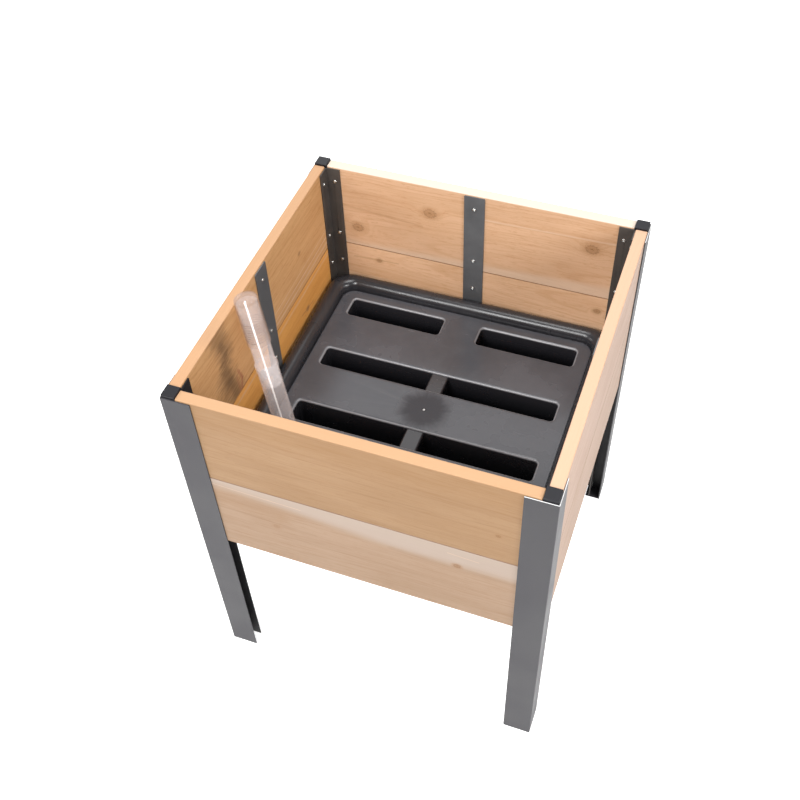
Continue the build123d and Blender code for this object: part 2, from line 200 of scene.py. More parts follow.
def finish_piece(name, mesh, material, sharp=38):
    """Links a mesh as an object with outward normals, smooth shading and one material."""
    work = bmesh.new()
    work.from_mesh(mesh)
    bmesh.ops.recalc_face_normals(work, faces=work.faces)
    work.to_mesh(mesh)
    work.free()
    mesh.shade_smooth()
    mesh.set_sharp_from_angle(angle=math.radians(sharp))
    mesh.materials.append(material)
    piece = bpy.data.objects.new(name, mesh)
    bpy.context.scene.collection.objects.link(piece)
    piece.modifiers.new("even_normals", "WEIGHTED_NORMAL").keep_sharp = True
    return piece


def stand_for(piece, node, body):
    """The piece rides on a body in place of a CAD node."""
    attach(piece, body)
    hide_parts(node)


def arc(centre, radius, start, sweep, steps):
    """Points on an arc in a plane, angles in radians."""
    angles = [start + sweep * i / steps for i in range(steps + 1)]
    return [Vector((centre[0] + radius * math.cos(a), centre[1] + radius * math.sin(a))) for a in angles]


def rounded_path(corners, closed, step=None, arc_steps=4):
    """A path through corners (x, y, radius), each rounded, with its long spans cut into steps."""
    path = []
    count = len(corners)
    for i, (x, y, radius) in enumerate(corners):
        here = Vector((x, y))
        if radius == 0 or (not closed and i in (0, count - 1)):
            path.append(here)
            continue
        back = (Vector(corners[i - 1][:2]) - here).normalized()
        ahead = (Vector(corners[(i + 1) % count][:2]) - here).normalized()
        half = back.angle(ahead) / 2
        centre = here + (back + ahead).normalized() * radius / math.sin(half)
        reach = radius / math.tan(half)
        first = here + back * reach - centre
        last = here + ahead * reach - centre
        start = math.atan2(first.y, first.x)
        sweep = (math.atan2(last.y, last.x) - start + math.pi) % (2 * math.pi) - math.pi
        path += arc(centre, radius, start, sweep, arc_steps)
    return cut_spans(path, closed, step) if step else path


def cut_spans(path, closed, step):
    """Adds points to every span that is longer than a step."""
    fine = []
    ends = path[1:] + path[:1] if closed else path[1:]
    for a, b in zip(path, ends):
        parts = max(1, round((b - a).length / step))
        fine += [a.lerp(b, k / parts) for k in range(parts)]
    return fine if closed else fine + [path[-1]]


def skin_rings(rings, wrap=False, caps=True):
    """Points and faces of a skin over closed rings that have equal numbers of points."""
    count = len(rings[0])
    points = [p for ring in rings for p in ring]
    faces = []
    pairs = [(i, i + 1) for i in range(len(rings) - 1)]
    if wrap:
        pairs.append((len(rings) - 1, 0))
    for i, k in pairs:
        for j in range(count):
            n = (j + 1) % count
            faces.append((i * count + j, i * count + n, k * count + n, k * count + j))
    if caps and not wrap:
        faces.append(tuple(range(count - 1, -1, -1)))
        faces.append(tuple(range((len(rings) - 1) * count, len(rings) * count)))
    return points, faces


def turn_angles(segments):
    """The angles of one full turn."""
    return [2 * math.pi * k / segments for k in range(segments)]


def turned_piece(name, profile, segments, place, material, wrap=True):
    """A piece turned about its local Z axis from a profile of (radius, height)."""
    angles = turn_angles(segments)
    rings = [[place @ Vector((radius * math.cos(a), radius * math.sin(a), height)) for a in angles]
             for radius, height in profile]
    return make_piece(name, *skin_rings(rings, wrap=wrap), material)


def rounded_square(half, corner, z, steps=8):
    """A square ring with rounded corners about the Z axis."""
    inner = half - corner
    ring = []
    for k, (sx, sy) in enumerate(((1, 1), (-1, 1), (-1, -1), (1, -1))):
        for p in arc((sx * inner, sy * inner), corner, k * math.pi / 2, math.pi / 2, steps):
            ring.append(Vector((p.x, p.y, z)))
    return ring


def modified_mesh(piece):
    """The mesh that a piece's modifiers make."""
    bpy.context.view_layer.update()
    return bpy.data.meshes.new_from_object(piece.evaluated_get(bpy.context.evaluated_depsgraph_get()))


def join_shapes(shapes):
    """Joins several (points, faces) into one."""
    points, faces = [], []
    for more_points, more_faces in shapes:
        shift = len(points)
        points += more_points
        faces += [tuple(i + shift for i in f) for f in more_faces]
    return points, faces


def fill_flat(work, loops):
    """Fills a flat area, whose first loop is its outside and whose others are holes."""
    edges = []
    for ring in loops:
        verts = [work.verts.new(p) for p in ring]
        edges += [work.edges.new((a, b)) for a, b in zip(verts, verts[1:] + verts[:1])]
    bmesh.ops.triangle_fill(work, use_beauty=True, edges=edges)


# ---------------- material tools

class Shader:
    """A material's node tree, with short calls for the nodes that the finishes use."""

    def __init__(self, name, **settings):
        self.material = bpy.data.materials.new(name)
        self.material.use_nodes = True
        self.tree = self.material.node_tree
        self.tree.nodes.clear()
        self.surface = self.node("ShaderNodeBsdfPrincipled")
        output = self.node("ShaderNodeOutputMaterial")
        self.tree.links.new(self.surface.outputs[0], output.inputs["Surface"])
        self.place = self.node("ShaderNodeTexCoord").outputs["Object"]
        for key, value in settings.items():
            self.surface.inputs[key.replace("_", " ")].default_value = value

    def node(self, kind, **settings):
        made = self.tree.nodes.new(kind)
        for key, value in settings.items():
            setattr(made, key, value)
        return made

    def plug(self, socket, value):
        if isinstance(value, bpy.types.NodeSocket):
            self.tree.links.new(value, socket)
        else:
            socket.default_value = value

    def set(self, name, value):
        self.plug(self.surface.inputs[name], value)

    def math(self, operation, *values):
        made = self.node("ShaderNodeMath", operation=operation)
        for socket, value in zip(made.inputs, values):
            self.plug(socket, value)
        return made.outputs[0]

    def plus(self, a, b):
        return self.math("ADD", a, b)

    def minus(self, a, b):
        return self.math("SUBTRACT", a, b)

    def times(self, a, b):
        return self.math("MULTIPLY", a, b)

    def vector(self, operation, *values):
        made = self.node("ShaderNodeVectorMath", operation=operation)
        for socket, value in zip(made.inputs, values):
            self.plug(socket, value)
        return made.outputs["Value" if operation in ("LENGTH", "DISTANCE", "DOT_PRODUCT") else "Vector"]

    def split(self, vector):
        made = self.node("ShaderNodeSeparateXYZ")
        self.plug(made.inputs[0], vector)
        return made.outputs

    def combine(self, x, y, z):
        made = self.node("ShaderNodeCombineXYZ")
        for socket, value in zip(made.inputs, (x, y, z)):
            self.plug(socket, value)
        return made.outputs[0]

    def noise(self, vector, scale, detail=3.0, roughness=0.5):
        made = self.node("ShaderNodeTexNoise")
        settings = {"Vector": vector, "Scale": scale, "Detail": detail, "Roughness": roughness}
        for key, value in settings.items():
            self.plug(made.inputs[key], value)
        return made.outputs["Fac"]

    def line_noise(self, value, detail=2.0, roughness=0.5):
        """Noise along one number."""
        made = self.node("ShaderNodeTexNoise", noise_dimensions="1D")
        for key, setting in {"W": value, "Scale": 1.0, "Detail": detail, "Roughness": roughness}.items():
            self.plug(made.inputs[key], setting)
        return made.outputs["Fac"]

    def smooth(self, value, low, high, out_low=0.0, out_high=1.0):
        """A soft step from one value to another."""
        made = self.node("ShaderNodeMapRange", interpolation_type="SMOOTHSTEP")
        for socket, setting in zip(made.inputs, (value, low, high, out_low, out_high)):
            self.plug(socket, setting)
        return made.outputs[0]

    def ramp(self, value, stops):
        made = self.node("ShaderNodeValToRGB")
        self.plug(made.inputs[0], value)
        line = made.color_ramp
        while len(line.elements) < len(stops):
            line.elements.new(0.5)
        for element, (position, color) in zip(line.elements, stops):
            element.position = position
            element.color = (*color, 1.0)
        return made.outputs[0]

    def mix(self, factor, a, b):
        made = self.node("ShaderNodeMix", data_type="RGBA")
        for index, value in ((0, factor), (6, a), (7, b)):
            if index and not isinstance(value, bpy.types.NodeSocket):
                value = (*value, 1.0)
            self.plug(made.inputs[index], value)
        return made.outputs[2]

    def bump(self, height, distance, strength):
        made = self.node("ShaderNodeBump")
        for key, value in {"Height": height, "Distance": distance, "Strength": strength}.items():
            self.plug(made.inputs[key], value)
        self.set("Normal", made.outputs[0])


# ---------------- wood

SAPWOOD = (0.58, 0.465, 0.385)
PALE_GRAIN = (0.74, 0.56, 0.42)
DARK_GRAIN = (0.30, 0.165, 0.075)
STAIN = (0.120, 0.066, 0.030)
RED_GRAIN = (0.33, 0.12, 0.06)
KNOT_RIM = (0.20, 0.092, 0.038)
KNOT_CORE = (0.30, 0.150, 0.065)
KNOT_HALO = (0.40, 0.205, 0.085)

# Places on a board are (along, height) in its wall's own frame, seen from outside.
# pith: the (height, depth) of the line that the growth rings are about. streak: how strong the grain is.
# sap: heights where the sapwood stops at the two ends, its softness, +1 if it lies above, colour, strength.
# knots: (along, height, radius, strength). strokes: (from, to, half width, colour, strength).
# Each wall's tone is partly the boards' own colour and partly painted light and shade: the back boards are
# lighter, the front boards darker and the right boards paler and pinker than the wood alone, to stand in for
# the light and sheen on each wall.
BOARDS = {
    ("upper", "front"): dict(
        tone=(0.425, 0.252, 0.128), pith=(0.86, -0.05), streak=0.20,
        painted_top_tone=(0.50, 0.295, 0.160), knots=((0.2224, 0.6163, 0.0022, 0.9),),
        strokes=(((-0.28, 0.718), (0.28, 0.712), 0.034, (0.40, 0.218, 0.095), 0.5),
                 ((-0.28, 0.560), (0.28, 0.556), 0.006, DARK_GRAIN, 0.10),
                 ((-0.20, 0.612), (0.26, 0.640), 0.0016, DARK_GRAIN, 0.20),
                 ((-0.28, 0.640), (0.10, 0.655), 0.0012, DARK_GRAIN, 0.16))),
    ("lower", "front"): dict(
        tone=(0.458, 0.298, 0.190), pith=(0.30, -0.08), streak=0.18,
        sap=(0.536, 0.505, 0.015, 1, SAPWOOD, 0.9),
        knots=((-0.1498, 0.4634, 0.0034, 0.35), (0.1604, 0.5034, 0.0034, 0.9)),
        strokes=(((-0.28, 0.538), (-0.10, 0.532), 0.0009, PALE_GRAIN, 0.9),
                 ((0.145, 0.5335), (0.195, 0.530), 0.0008, PALE_GRAIN, 0.9),
                 ((0.05, 0.500), (0.28, 0.494), 0.0050, DARK_GRAIN, 0.16),
                 ((-0.28, 0.478), (-0.08, 0.470), 0.0026, DARK_GRAIN, 0.24),
                 ((-0.28, 0.500), (-0.14, 0.495), 0.0200, (0.40, 0.235, 0.125), 0.45),
                 ((-0.16, 0.440), (0.28, 0.446), 0.0018, DARK_GRAIN, 0.14))),
    ("upper", "back"): dict(
        tone=(0.625, 0.380, 0.222), pith=(0.635, -0.345), streak=0.34, painted_top_tone=(0.66, 0.585, 0.50),
        sap=(0.586, 0.568, 0.009, -1, PALE_GRAIN, 0.55),
        knots=((0.0841, 0.6739, 0.0072, 0.75), (0.2282, 0.6047, 0.0066, 0.75),
               (-0.2143, 0.6686, 0.0072, 0.8)),
        strokes=(((0.10, 0.640), (0.28, 0.655), 0.0030, KNOT_HALO, 0.35),
                 ((-0.28, 0.690), (0.0, 0.684), 0.0022, PALE_GRAIN, 0.35))),
    ("lower", "back"): dict(
        tone=(0.72, 0.445, 0.262), pith=(0.58, -0.36), streak=0.34,
        knots=((0.1892, 0.5316, 0.0030, 0.8), (-0.2378, 0.5257, 0.0038, 0.8)),
        strokes=(((0.15, 0.534), (0.24, 0.530), 0.0020, KNOT_HALO, 0.4),)),
    ("upper", "left"): dict(
        tone=(0.56, 0.310, 0.135), pith=(0.78, -0.33), streak=0.42, painted_top_tone=(0.47, 0.272, 0.150),
        knots=((-0.1411, 0.6442, 0.0026, 0.9),),
        strokes=(((-0.28, 0.5905), (0.04, 0.5830), 0.0011, PALE_GRAIN, 0.75),
                 ((-0.28, 0.6060), (-0.02, 0.5990), 0.0008, PALE_GRAIN, 0.6),
                 ((-0.28, 0.5770), (0.06, 0.5720), 0.0024, PALE_GRAIN, 0.4),
                 ((0.168, 0.745), (0.145, 0.675), 0.0260, STAIN, 0.55),
                 ((0.156, 0.700), (0.146, 0.676), 0.0100, STAIN, 0.50),
                 ((0.156, 0.660), (0.154, 0.615), 0.0170, STAIN, 0.50),
                 ((0.160, 0.630), (0.138, 0.556), 0.0320, STAIN, 0.55),
                 ((0.150, 0.610), (0.138, 0.568), 0.0120, STAIN, 0.50),
                 ((0.190, 0.600), (0.176, 0.560), 0.0160, STAIN, 0.25),
                 ((0.123, 0.610), (0.114, 0.583), 0.0036, RED_GRAIN, 0.75),
                 ((0.114, 0.587), (0.125, 0.552), 0.0036, RED_GRAIN, 0.75),
                 ((0.130, 0.600), (0.126, 0.556), 0.0030, RED_GRAIN, 0.5))),
    ("lower", "left"): dict(
        tone=(0.70, 0.335, 0.088), pith=(0.40, -0.33), streak=0.34,
        knots=((-0.1454, 0.5033, 0.0034, 0.8),),
        strokes=(((-0.28, 0.549), (0.28, 0.545), 0.0030, PALE_GRAIN, 0.35),
                 ((-0.17, 0.500), (-0.12, 0.507), 0.0016, RED_GRAIN, 0.5))),
    ("upper", "right"): dict(
        tone=(0.495, 0.330, 0.240), pith=(0.84, -0.05), streak=0.26, painted_top_tone=(0.62, 0.385, 0.250)),
    ("lower", "right"): dict(
        tone=(0.480, 0.318, 0.225), pith=(0.34, -0.08), streak=0.28),
}


def stroke_mask(s, point, start, end, half_width, ragged):
    """A soft, ragged line between two places on a board."""
    start, end = Vector((*start, 0.0)), Vector((*end, 0.0))
    run = end - start
    from_start = s.vector("SUBTRACT", point, start)
    part = s.math("MINIMUM", 1.0, s.vector("DOT_PRODUCT", from_start, run / run.length_squared))
    part = s.math("MAXIMUM", 0.0, part)
    nearest = s.vector("MULTIPLY", s.combine(part, part, part), run)
    away = s.vector("LENGTH", s.vector("SUBTRACT", from_start, nearest))
    away = s.plus(away, s.times(ragged, half_width))
    return s.smooth(away, 1.35 * half_width, 0.25 * half_width)


def cedar(name, angle, seed, tone, pith, streak, knots=(), strokes=(), sap=None, painted_top_tone=None):
    """Planed cedar: growth rings about a pith line, fine fibres along the board, knots and sapwood."""
    s = Shader(name, IOR=1.45)
    turned = s.node("ShaderNodeVectorRotate", rotation_type="Z_AXIS")
    s.plug(turned.inputs["Vector"], s.place)
    s.plug(turned.inputs["Angle"], -math.radians(angle))
    along, depth, height = s.split(turned.outputs[0])

    # Rings: the distance from a pith line that wanders along the board
    drift = s.noise(s.combine(s.times(along, 1.8), seed, 0.0), 1.0, 2.0)
    wave_place = s.combine(s.times(along, 8.0), s.times(height, 24.0), seed)
    wave = s.noise(wave_place, 1.0, 3.0)
    across = s.plus(s.minus(height, pith[0]), s.times(drift, 0.07))
    across = s.plus(across, s.times(wave, 0.012))
    away = s.plus(s.minus(depth, pith[1]), s.times(along, 0.04))
    distance = s.vector("LENGTH", s.combine(across, away, 0.0))

    # Fibres, flecks and clouds lie along the board
    board_place = s.combine(along, depth, height)
    fibre = s.noise(s.vector("MULTIPLY", board_place, (15.0, 430.0, 430.0)), 1.0, 4.0, 0.6)
    fleck = s.noise(s.vector("MULTIPLY", board_place, (55.0, 330.0, 330.0)), 1.0, 4.0, 0.7)
    cloud = s.noise(s.vector("MULTIPLY", board_place, (5.0, 20.0, 26.0)), 1.0, 3.0, 0.55)
    ragged_place = s.combine(s.times(along, 60.0), seed, s.times(height, 300.0))
    ragged = s.minus(s.noise(ragged_place, 1.0, 3.0, 0.6), 0.5)

    # Knots bend the rings round them, and have a halo, a rim and a dark heart
    masks = []
    for x, z, radius, strength in knots:
        offset = s.combine(s.math("DIVIDE", s.minus(along, x), 1.3 * radius),
                           s.math("DIVIDE", s.minus(height, z), radius), 0.0)
        rough = s.noise(offset, 2.1, 3.0, 0.7)
        unevenness = s.times(s.minus(rough, 0.5), 1.9)
        reach = s.plus(s.vector("LENGTH", offset), unevenness)
        distance = s.plus(distance, s.times(s.smooth(reach, 4.8, 0.8), 1.7 * radius))
        masks.append((s.smooth(reach, 3.0, 0.7), KNOT_HALO, 0.70 * strength))
        masks.append((s.smooth(reach, 1.0, 0.6), KNOT_CORE, 0.45 * strength))
        ring = s.times(s.smooth(reach, 1.45, 1.15), s.smooth(reach, 0.8, 1.05))
        masks.append((ring, KNOT_RIM, 0.60 * strength))
        masks.append((s.smooth(reach, 0.34, 0.16), KNOT_RIM, 0.75 * strength))

    # Colour: light and dark grain over the board's tone
    bands = s.line_noise(s.plus(s.times(distance, 300.0), seed), 2.0, 0.55)
    wide = s.line_noise(s.plus(s.times(distance, 58.0), 7.0 + seed), 1.0)
    light = tuple(min(1.0, c * k) for c, k in zip(tone, LIGHTER))
    dark = tuple(c * k for c, k in zip(tone, DARKER))
    color = s.mix(s.smooth(cloud, 0.3, 0.7), tone, light)
    color = s.mix(s.times(s.smooth(bands, 0.48, 0.72), streak), color, dark)
    color = s.mix(s.times(s.smooth(wide, 0.5, 0.8), 0.7 * streak), color, dark)
    color = s.mix(s.times(s.smooth(fibre, 0.52, 0.74), 0.9 * streak + 0.2), color, dark)
    color = s.mix(s.times(s.smooth(fleck, 0.53, 0.66), 1.3 * streak), color, dark)
    color = s.mix(s.times(s.smooth(fibre, 0.46, 0.26), 0.9 * streak + 0.1), color, light)
    if sap:
        low, high, soft, side, shade, strength = sap
        limit = s.smooth(along, -BOARD_END, 0.10 if side > 0 else BOARD_END, low, high)
        limit = s.plus(limit, s.times(s.minus(cloud, 0.5), 0.012))
        inside = s.times(s.minus(height, limit), side)
        color = s.mix(s.times(s.smooth(inside, -soft, soft), strength), color, shade)

    # Marks over the grain: a painted shade line at the seam, knots, strokes, and painted light and shade on
    # the top edge
    # Painted shade: a dark line along the seam, where the upper board shades the joint
    seam = s.smooth(depth, *LAP_FACES, SEAM_OUTSIDE, SEAM_OUTSIDE + LAP)
    from_seam = s.math("ABSOLUTE", s.minus(height, seam))
    masks.append((s.smooth(from_seam, 0.0017, 0.0005), KNOT_RIM, 0.75))
    point = s.combine(along, height, 0.0)
    for start, end, half_width, shade, strength in strokes:
        mask = stroke_mask(s, point, start, end, half_width, s.times(ragged, 1.6))
        masks.append((s.times(mask, s.smooth(fibre, 0.25, 0.6, 0.55, 1.0)), shade, strength))
    for mask, shade, strength in masks:
        color = s.mix(s.times(mask, strength), color, shade)
    # Painted light and shade: the top edge gets a tone of its own, lighter than the board on most walls and
    # darker on the left
    if painted_top_tone:
        color = s.mix(s.times(s.smooth(height, *TOP_EDGE), 0.85), color, painted_top_tone)
    s.set("Base Color", color)
    s.set("Roughness", s.smooth(fibre, 0.2, 0.8, 0.46, 0.64))
    s.set("Specular IOR Level", 0.4)
    height_map = s.plus(s.times(fibre, 0.7), s.times(bands, 0.5))
    s.bump(height_map, 0.00025, 0.5)
    return s.material


def rough_cedar(name, seed):
    """Rough-sawn cedar for the slats, with saw marks across it."""
    s = Shader(name)
    x, y, z = s.split(s.place)
    fibre = s.noise(s.vector("MULTIPLY", s.place, (16.0, 260.0, 260.0)), 1.0, 5.0, 0.65)
    bands = s.noise(s.combine(s.times(x, 2.0), s.times(y, 90.0), seed), 1.0, 2.0)
    marks = s.math("SINE", s.plus(s.times(x, 1500.0), s.times(fibre, 3.0)))
    color = s.ramp(fibre, ((0.25, (0.33, 0.19, 0.10)), (0.55, (0.52, 0.34, 0.19)), (0.8, (0.62, 0.44, 0.27))))
    color = s.mix(s.times(s.smooth(bands, 0.5, 0.75), 0.4), color, (0.30, 0.16, 0.08))
    s.set("Base Color", color)
    s.set("Roughness", 0.8)
    s.bump(s.plus(fibre, s.times(marks, 0.12)), 0.0005, 0.8)
    return s.material


# ---------------- other materials

def powder_coat(name, tone, roughness, bright_top=None):
    """Satin powder coat, with orange peel and specks; bright_top paints a highlight along its outer edge at
    one height.
    """
    s = Shader(name, IOR=1.5)
    peel = s.noise(s.place, 1100.0, 2.0)
    haze = s.noise(s.place, 9.0, 4.0, 0.6)
    specks = s.smooth(s.noise(s.place, 420.0, 1.0), 0.74, 0.80)
    dark = tuple(0.86 * c for c in tone)
    light = tuple(min(1.0, 1.16 * c) for c in tone)
    color = s.mix(s.smooth(haze, 0.35, 0.65), dark, light)
    color = s.mix(s.times(specks, 0.35), color, tuple(2.2 * c for c in tone))
    if bright_top:
        # Painted highlight: a pale line along the outer top edge of the steel, where that edge catches the
        # light.
        x, y, height = s.split(s.place)
        outwards = s.math("MAXIMUM", s.math("ABSOLUTE", x), s.math("ABSOLUTE", y))
        painted_highlight = s.times(s.smooth(height, bright_top - 0.0005, bright_top - 0.0002),
                        s.smooth(outwards, LEG_HALF - HIGHLIGHT_WIDTH, LEG_HALF - 0.6 * HIGHLIGHT_WIDTH))
        color = s.mix(painted_highlight, color, (0.80, 0.80, 0.80))
    s.set("Base Color", color)
    s.set("Roughness", s.smooth(haze, 0.3, 0.7, roughness - 0.05, roughness + 0.06))
    s.bump(peel, 0.00012, 0.5)
    return s.material


def moulded_black(name, tone, roughness, grain=0.25, shine=0.5):
    """Black moulded plastic with a soft gloss, flow haze and light scuffs."""
    s = Shader(name, IOR=1.5)
    haze = s.noise(s.place, 7.0, 4.0, 0.6)
    grit = s.noise(s.place, 1500.0, 2.0)
    scuffs = s.noise(s.vector("MULTIPLY", s.place, (14.0, 120.0, 60.0)), 1.0, 5.0, 0.7)
    color = s.mix(s.smooth(haze, 0.35, 0.7), tone, tuple(1.35 * c for c in tone))
    scuff = s.smooth(scuffs, 0.58, 0.80)
    color = s.mix(s.times(scuff, 0.05), color, (0.25, 0.25, 0.26))
    s.set("Base Color", color)
    rough = s.smooth(haze, 0.3, 0.7, roughness - 0.05, roughness + 0.07)
    s.set("Roughness", s.plus(rough, s.times(scuff, 0.03)))
    s.set("Specular IOR Level", shine)
    s.bump(grit, 0.0001, grain)
    return s.material


def platform_plastic(name):
    """The platform's plastic: hazed on top, with a painted highlight on the pocket lips, painted shade in the
    pockets and a dark blush round its gate.
    """
    s = Shader(name, IOR=1.5)
    haze = s.noise(s.place, 6.0, 4.0, 0.6)
    grit = s.noise(s.place, 1500.0, 2.0)
    x, y, z = s.split(s.place)
    flat = s.combine(x, y, 0.0)
    from_gate = s.vector("LENGTH", flat)

    # The blush round the gate, with faint rays out of it
    spokes = s.noise(s.vector("NORMALIZE", flat), 7.0, 4.0, 0.7)
    ragged = s.noise(s.place, 60.0, 3.0, 0.6)
    reach = s.plus(from_gate, s.times(s.minus(spokes, 0.5), 0.018))
    reach = s.plus(reach, s.times(s.minus(ragged, 0.5), 0.022))
    blush = s.smooth(reach, 0.056, 0.026)
    tone = s.mix(s.smooth(haze, 0.35, 0.7), (0.062, 0.064, 0.074), (0.088, 0.090, 0.102))
    rays = s.times(s.smooth(spokes, 0.45, 0.7), s.smooth(from_gate, 0.20, 0.03))
    tone = s.mix(s.times(rays, 0.30), tone, (0.105, 0.107, 0.116))
    tone = s.mix(s.times(blush, 0.9), tone, (0.022, 0.021, 0.028))
    scuffs = s.noise(s.vector("MULTIPLY", s.place, (20.0, 150.0, 60.0)), 1.0, 5.0, 0.7)
    scuff = s.smooth(scuffs, 0.58, 0.80)
    tone = s.mix(s.times(scuff, 0.07), tone, (0.30, 0.30, 0.31))
    tone = s.mix(s.smooth(from_gate, 0.0048, 0.0034), tone, (0.010, 0.010, 0.011))

    # The pockets: a painted highlight on the lip, then painted shade, darker with depth
    below = s.minus(TUBE_BASE.z, z)
    tone = s.mix(s.times(s.smooth(below, 0.0002, 0.0010), 0.6), tone, (0.34, 0.34, 0.36))
    tone = s.mix(s.smooth(below, 0.0016, 0.0045), tone, (0.024, 0.023, 0.027))
    tone = s.mix(s.smooth(below, 0.004, 0.045), tone, (0.009, 0.009, 0.011))
    s.set("Base Color", tone)
    rough = s.smooth(haze, 0.3, 0.7, 0.21, 0.31)
    rough = s.plus(rough, s.times(blush, 0.25))
    s.set("Roughness", s.plus(rough, s.times(scuff, 0.03)))
    s.bump(grit, 0.0001, 0.15)
    return s.material


def clear_plastic(name, tint, least, most, shine=1.0):
    """Clear moulded plastic: seen through face on, whiter towards its edges, with a painted highlight streak
    down one side.
    """
    s = Shader(name, IOR=1.6)
    haze = s.noise(s.place, 45.0, 3.0, 0.6)
    flow = s.noise(s.vector("MULTIPLY", s.place, (420.0, 420.0, 30.0)), 1.0, 2.0)
    weight = s.node("ShaderNodeLayerWeight")
    weight.inputs["Blend"].default_value = 0.5
    edge = s.math("POWER", weight.outputs["Facing"], 2.2)
    cover = s.plus(s.smooth(haze, 0.3, 0.8, least, least + 0.04), s.times(edge, most))

    # A painted highlight streak, whiter and less clear, along one side of the tube
    turned = tube_place().to_3x3() @ Matrix.Rotation(PAINTED_STREAK_ANGLE, 3, "Z")
    spot = s.vector("SUBTRACT", s.place, TUBE_BASE)
    off_line = s.math("ABSOLUTE", s.vector("DOT_PRODUCT", spot, turned.col[1]))
    near_side = s.smooth(s.vector("DOT_PRODUCT", spot, turned.col[0]), *PAINTED_STREAK_SIDE)
    line = s.times(s.smooth(off_line, *PAINTED_STREAK_WIDTHS), near_side)
    cover = s.plus(cover, s.times(line, PAINTED_STREAK_COVER))
    clean = s.mix(s.smooth(haze, 0.3, 0.8), tint, tuple(0.94 * c for c in tint))
    s.set("Base Color", s.mix(line, clean, (1.0, 0.98, 0.97)))
    s.set("Alpha", cover)
    s.set("Specular IOR Level", shine)
    s.set("Roughness", s.smooth(haze, 0.3, 0.8, 0.05, 0.10))
    s.bump(flow, 0.00003, 0.25)
    return s.material


def plated_steel(name):
    """Zinc-plated screws, faintly brushed and mottled."""
    s = Shader(name, Metallic=1.0)
    mottle = s.noise(s.place, 900.0, 3.0, 0.6)
    s.set("Base Color", s.mix(mottle, (0.62, 0.62, 0.60), (0.86, 0.86, 0.84)))
    s.set("Roughness", s.smooth(mottle, 0.3, 0.7, 0.22, 0.38))
    return s.material


def soft_rubber(name):
    """Matte black rubber."""
    s = Shader(name)
    grit = s.noise(s.place, 1300.0, 3.0)
    s.set("Base Color", s.mix(grit, (0.018, 0.018, 0.018), (0.035, 0.034, 0.033)))
    s.set("Roughness", 0.75)
    s.bump(grit, 0.0002, 0.4)
    return s.material


def float_red(name):
    """Moulded red plastic of the level float."""
    s = Shader(name)
    haze = s.noise(s.place, 80.0, 3.0)
    s.set("Base Color", s.mix(haze, (0.55, 0.045, 0.02), (0.66, 0.07, 0.03)))
    s.set("Roughness", s.smooth(haze, 0.3, 0.7, 0.28, 0.4))
    return s.material


# ---------------- boards and slats

def board_outline(low, high, upper):
    """A board's (depth, height) outline, with eased edges and its half lap."""
    outer, inner = low.y, high.y
    middle = (outer + inner) / 2
    if upper:
        seam = low.z
        corners = [(outer, seam, SEAM_EASE), (middle, seam, LAP_GAP), (middle, seam + LAP, LAP_GAP),
                   (inner, seam + LAP, SEAM_EASE), (inner, high.z, BOARD_EASE), (outer, high.z, BOARD_EASE)]
    else:
        seam = high.z - LAP
        corners = [(outer, low.z, BOARD_EASE), (inner, low.z, BOARD_EASE), (inner, high.z, SEAM_EASE),
                   (middle + LAP_GAP, high.z, LAP_GAP), (middle + LAP_GAP, seam, LAP_GAP),
                   (outer, seam, SEAM_EASE)]
    return rounded_path(corners, True, BOARD_STEP, 3)


def plank(name, outline, x0, x1, angle, material, sag, seed):
    """A board lofted along its grain, whose faces dip a little, as planed wood does."""
    centre = sum(outline, Vector((0, 0))) / len(outline)
    spin = Matrix.Rotation(math.radians(angle), 4, "Z")
    spans = max(2, round((x1 - x0) / BOARD_STEP))
    stations = [x0, x0 + END_EASE] + [x0 + (x1 - x0) * i / spans for i in range(1, spans)]
    stations += [x1 - END_EASE, x1]
    rings = []
    for x in stations:
        shrink = END_EASE if x in (x0, x1) else 0.0
        ring = []
        for p in outline:
            place = Vector((x * 9.0, p.x * 40.0 + seed, p.y * 22.0))
            dip = sag * (0.5 + 0.5 * noise.noise(place)) + shrink
            inward = centre - p
            step = Vector((math.copysign(min(dip, abs(inward.x)), inward.x),
                           math.copysign(min(dip, abs(inward.y)), inward.y)))
            q = p + step
            ring.append(spin @ Vector((x, q.x, q.y)))
        rings.append(ring)
    return make_piece(name, *skin_rings(rings), material)


def add_boards():
    """The eight wall boards, each with its own grain."""
    for seed, ((row, wall), looks) in enumerate(BOARDS.items(), 1):
        node = f"board_{row}_{wall}"
        low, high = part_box(f"board_{row}_front")
        angle = WALLS[wall]
        material = cedar(f"cedar_{row}_{wall}", angle, 3.7 * seed, **looks)
        outline = board_outline(low, high, row == "upper")
        piece = plank(f"plank_{row}_{wall}", outline, low.x, high.x, angle, material, SAG, seed)
        stand_for(piece, node, "frame")


def add_slats():
    """The rough cross slats under the tray."""
    for number in range(1, 6):
        node = f"tray_slat_{number}"
        low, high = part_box(node)
        corners = [(low.y, low.z, BOARD_EASE), (high.y, low.z, BOARD_EASE),
                   (high.y, high.z, BOARD_EASE), (low.y, high.z, BOARD_EASE)]
        outline = rounded_path(corners, True, BOARD_STEP, 3)
        material = rough_cedar(f"rough_cedar_{number}", 11.3 * number)
        piece = plank(f"slat_{number}", outline, low.x, high.x, 0, material, 2 * SAG, 20 + number)
        stand_for(piece, node, "frame")


# ---------------- tray and platform

def tray_corner(half):
    """The corner radius of the tray's square rings."""
    return max(SKIN, RIM_CORNER - (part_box("reservoir_tray")[1].x - half) * CORNER_SHRINK)


def circle(x, y, z, radius, steps):
    """A level circle of points."""
    return [Vector((p.x, p.y, z)) for p in arc((x, y), radius, 0, 2 * math.pi, steps)[:-1]]


